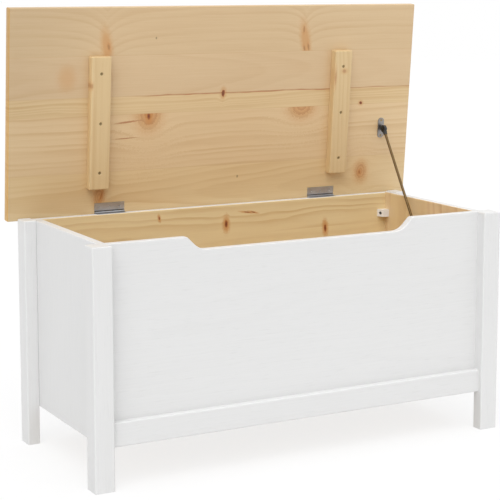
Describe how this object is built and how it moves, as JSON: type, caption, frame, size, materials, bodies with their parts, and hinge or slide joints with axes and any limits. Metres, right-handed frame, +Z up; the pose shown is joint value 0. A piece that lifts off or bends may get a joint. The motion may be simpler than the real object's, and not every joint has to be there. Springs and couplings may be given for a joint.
{
  "type": "storage box with hinged lid",
  "caption": "Free-standing wooden storage box on corner legs, with a scooped front board and a flat lid that turns up on butt hinges and is held open by a gas strut.",
  "frame": {"origin": "on the floor, under the middle of the whole object as it stands with its lid open", "axes": "+X to the right along the front, +Y to the back, +Z up"},
  "size_m": [1, 0.4272, 0.9256],
  "materials": {
    "white_painted_wood": "satin white paint",
    "lid_pine": "bare lacquered pine, glued from staves",
    "bare_pine": "bare lacquered pine",
    "beech": "bare",
    "white_plastic": "moulded",
    "zinc_steel": "zinc plated",
    "nitrided_rod": "nitrided, dark and smooth",
    "black_tube": "satin",
    "black_plastic": "moulded"
  },
  "bodies": {
    "box": {"front_left_post": "white_painted_wood", "front_right_post": "white_painted_wood", "back_left_post": "white_painted_wood", "back_right_post": "white_painted_wood", "front_panel": "white_painted_wood", "back_panel": "white_painted_wood", "left_side_panel": "white_painted_wood", "right_side_panel": "white_painted_wood", "front_rail": "white_painted_wood", "floor_panel": "bare_pine", "front_floor_ledger": "bare_pine", "back_floor_ledger": "bare_pine", "left_floor_ledger": "bare_pine", "right_floor_ledger": "bare_pine", "front_left_low_block": "white_plastic", "front_left_high_block": "white_plastic", "front_right_low_block": "white_plastic", "front_right_high_block": "white_plastic", "back_left_low_block": "white_plastic", "back_left_high_block": "white_plastic", "back_right_low_block": "white_plastic", "back_right_high_block": "white_plastic", "back_panel_dowels": "beech", "corner_block_screws": "zinc_steel", "hinge_box_screws": "zinc_steel", "strut_wall_plate": "zinc_steel", "strut_wall_plate_screws": "zinc_steel", "left_hinge_box_leaf": "zinc_steel", "left_hinge_pin": "zinc_steel", "right_hinge_box_leaf": "zinc_steel", "right_hinge_pin": "zinc_steel"},
    "lid": {"lid_panel": "lid_pine", "left_batten": "bare_pine", "right_batten": "bare_pine", "batten_screws": "zinc_steel", "left_hinge_lid_leaf": "zinc_steel", "right_hinge_lid_leaf": "zinc_steel", "hinge_lid_screws": "zinc_steel", "strut_lid_plate": "zinc_steel", "strut_lid_plate_screws": "zinc_steel", "strut_upper_pin": "zinc_steel"},
    "strut_rod": {"strut_rod": "nitrided_rod", "strut_upper_eye": "black_plastic", "strut_piston": "zinc_steel"},
    "strut_cylinder": {"strut_tube": "black_tube", "strut_gland": "black_plastic", "strut_lower_eye": "black_plastic", "strut_lower_pin": "zinc_steel"}
  },
  "joints": [
    {"name": "lid_hinge", "type": "hinge", "parent": "box", "child": "lid", "pos_m": [0, 0.1944, 0.4813], "axis": [1, 0, 0], "range_deg": [0, 85]},
    {"name": "strut_pivot", "type": "hinge", "parent": "lid", "child": "strut_rod", "pos_m": [0.424, 0.16703, 0.63349], "axis": [1, 0, 0], "range_deg": [-81.19, 0]},
    {"name": "strut_slide", "type": "slide", "parent": "strut_rod", "child": "strut_cylinder", "axis": [0, 0.5281, 0.8492], "range_m": [0, 0.2075], "stiffness_N_per_m": 40, "springref_m": -1.125}
  ],
  "couplings": [
    {"joint": "strut_pivot", "follows": "lid_hinge", "ratio": -0.95462},
    {"joint": "strut_slide", "follows": "lid_hinge", "m_per_rad": 0.13976}
  ]
}
